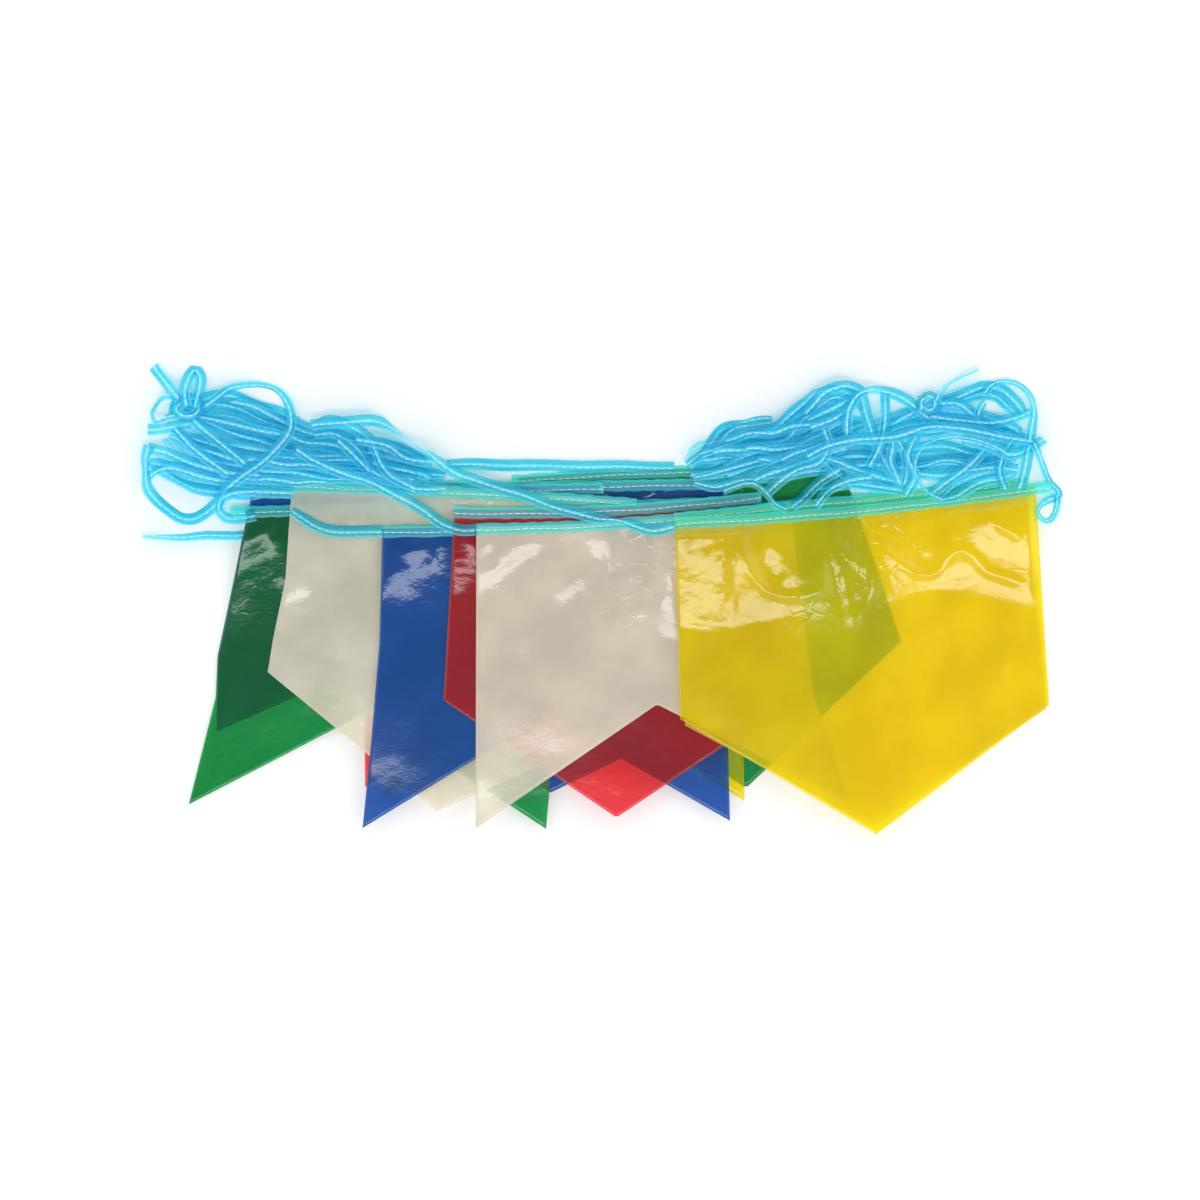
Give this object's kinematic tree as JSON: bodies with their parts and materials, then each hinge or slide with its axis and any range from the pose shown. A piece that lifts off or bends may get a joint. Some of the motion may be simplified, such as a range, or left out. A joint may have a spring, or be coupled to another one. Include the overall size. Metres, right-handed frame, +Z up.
{
  "type": "folded bundle of plastic bunting",
  "caption": "String of pointed and notched plastic film pennants on folded tape, folded into a flat bundle with its spare tape in loose hanks.",
  "frame": {"origin": "middle of the bundle's outline, on the surface that it lies on", "axes": "+X along the headings, to the right; +Y across the surface, from the pennants' points towards the tape; +Z up"},
  "size_m": [0.5102, 0.2608, 0.031],
  "materials": {
    "film_yellow": "thin glossy translucent film, yellow",
    "film_white": "thin glossy translucent film, milky cream white",
    "film_red": "thin glossy translucent film, red",
    "film_blue": "thin glossy translucent film, deep blue",
    "film_green": "thin glossy translucent film, green",
    "tape_blue": "soft crinkled translucent tape, light blue, with a white sewn line"
  },
  "bodies": {
    "root": {"pennant_green_under": "film_green", "pennant_yellow_under": "film_yellow", "pennant_blue_under": "film_blue", "pennant_red_under": "film_red", "pennant_blue_left": "film_blue", "pennant_green_left": "film_green", "pennant_white_left": "film_white", "pennant_blue_front": "film_blue", "pennant_red_front": "film_red", "pennant_white_front": "film_white", "pennant_yellow_second": "film_yellow", "pennant_yellow_front": "film_yellow", "heading_green_under": "tape_blue", "heading_yellow_under": "tape_blue", "heading_blue_under": "tape_blue", "heading_red_under": "tape_blue", "heading_blue_left": "tape_blue", "heading_green_left": "tape_blue", "heading_white_left": "tape_blue", "heading_blue_front": "tape_blue", "heading_red_front": "tape_blue", "heading_white_front": "tape_blue", "heading_yellow_second": "tape_blue", "heading_yellow_front": "tape_blue", "hank_left": "tape_blue", "hank_right": "tape_blue", "hank_right_arch": "tape_blue", "hank_right_band": "tape_blue", "hank_right_ring": "tape_blue", "tape_end_left": "tape_blue", "tape_run_back": "tape_blue", "tape_run_lower": "tape_blue", "tape_run_middle": "tape_blue", "tape_run_upper": "tape_blue", "tape_tail_left": "tape_blue", "tape_tail_right": "tape_blue"}
  },
  "joints": []
}
